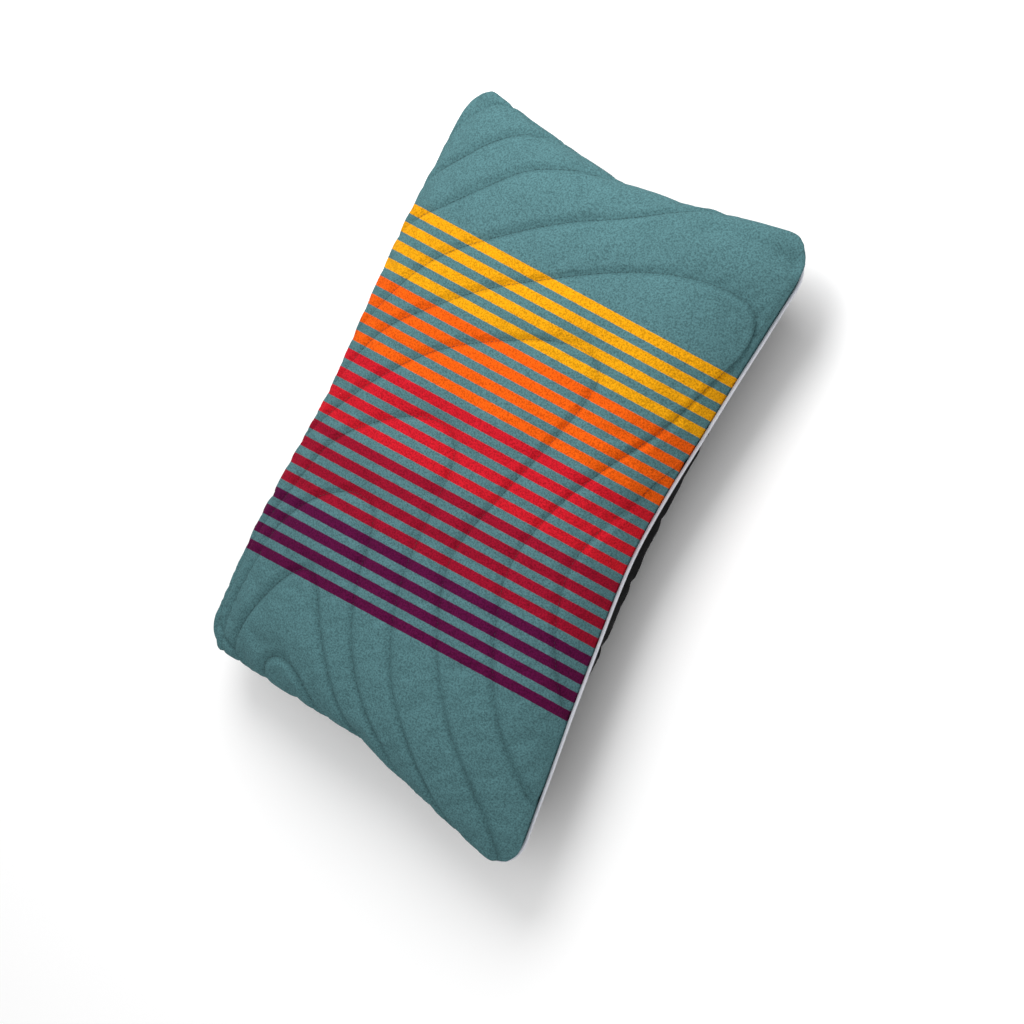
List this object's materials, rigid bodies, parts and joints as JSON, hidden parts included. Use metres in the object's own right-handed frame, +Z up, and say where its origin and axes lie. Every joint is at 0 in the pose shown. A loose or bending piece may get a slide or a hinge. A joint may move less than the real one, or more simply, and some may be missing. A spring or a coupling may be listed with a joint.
{
  "type": "camp pillow",
  "caption": "Quilted camp pillow with a striped fleece front, a black woven back, a piped seam and a zip that closes over a fibre-filled insert.",
  "frame": {"origin": "middle of the footprint, on the surface that the pillow's back rests on", "axes": "+X across the pillow, +Y along it towards the zip, +Z up out of the fleece front"},
  "size_m": [0.328, 0.4625, 0.095],
  "materials": {
    "fleece": "short brushed pile, matt",
    "ripstop": "plain woven, matt",
    "piping": "woven tape, matt",
    "cord": "twisted, matt",
    "batting": "needled fibre, matt",
    "lining": "plain woven, matt",
    "insert_cloth": "plain woven, matt",
    "fill": "loose fibre, matt",
    "zip_tape": "woven, matt",
    "zip_coil": "moulded, satin",
    "slider_metal": "dark enamel, satin",
    "label": "satin woven, blank"
  },
  "bodies": {
    "case": {"front_fleece_panel": "fleece", "front_batting": "batting", "front_lining": "lining", "piping_cover": "piping", "piping_core": "cord", "back_panel": "ripstop", "zip_facing": "ripstop", "back_batting": "batting", "back_lining": "lining", "zip_tape_upper": "zip_tape", "zip_tape_lower": "zip_tape", "zip_coil_upper": "zip_coil", "zip_coil_lower": "zip_coil", "zip_top_stop_upper": "slider_metal", "zip_top_stop_lower": "slider_metal", "zip_bottom_stop": "slider_metal", "insert_cover_top": "insert_cloth", "insert_cover_bottom": "insert_cloth", "insert_fill": "fill", "care_label": "label"},
    "slider": {"zip_slider": "slider_metal"},
    "pull": {"zip_pull_tab": "slider_metal"}
  },
  "joints": [
    {"name": "zip_slide", "type": "slide", "parent": "case", "child": "slider", "axis": [-1, 0, 0], "range_m": [0, 0.15]},
    {"name": "pull_hinge", "type": "hinge", "parent": "slider", "child": "pull", "pos_m": [0.08, 0.2068, 0.026], "axis": [0, 0, -1], "range_deg": [0, 150]}
  ]
}
